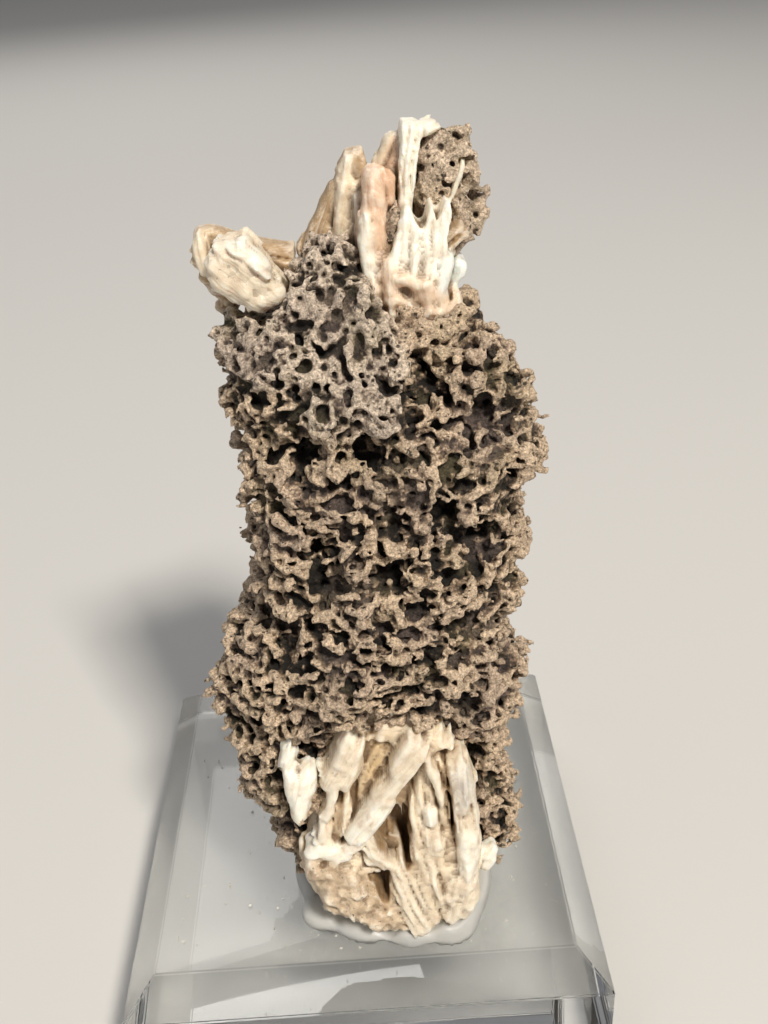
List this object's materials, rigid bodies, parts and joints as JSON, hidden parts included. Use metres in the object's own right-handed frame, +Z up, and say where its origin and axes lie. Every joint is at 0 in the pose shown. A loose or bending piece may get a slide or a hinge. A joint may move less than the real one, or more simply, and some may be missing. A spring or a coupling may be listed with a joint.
{
  "type": "chlorargyrite mineral specimen on a clear display block",
  "caption": "Spongy grey-brown chlorargyrite standing upright, with cream bladed crystals at its head and foot, held by wax on a bevelled clear block.",
  "frame": {"origin": "middle of the clear block's underside, on the surface it stands on", "axes": "+Z up, +X to the right of the shown side, +Y away from the shown side, so the specimen faces -Y"},
  "size_m": [0.0762, 0.0762, 0.1375],
  "materials": {
    "clear_acrylic": "clear, polished on every face, with bevelled upper edges",
    "display_wax": "translucent whitish wax, soft sheen",
    "chlorargyrite": "porous grey-brown sponge, dull with fine glitter, darker in its pores",
    "barite": "cream to white, streaked along the blades, waxy and slightly translucent"
  },
  "bodies": {
    "root": {"display_block": "clear_acrylic", "wax_pad": "display_wax", "sponge_mass": "chlorargyrite", "fan_sponge": "chlorargyrite", "fan_sponge_small": "chlorargyrite", "fan_crystals": "barite", "ear_crystals": "barite", "foot_crystals": "barite", "small_crystal": "barite"}
  },
  "joints": []
}
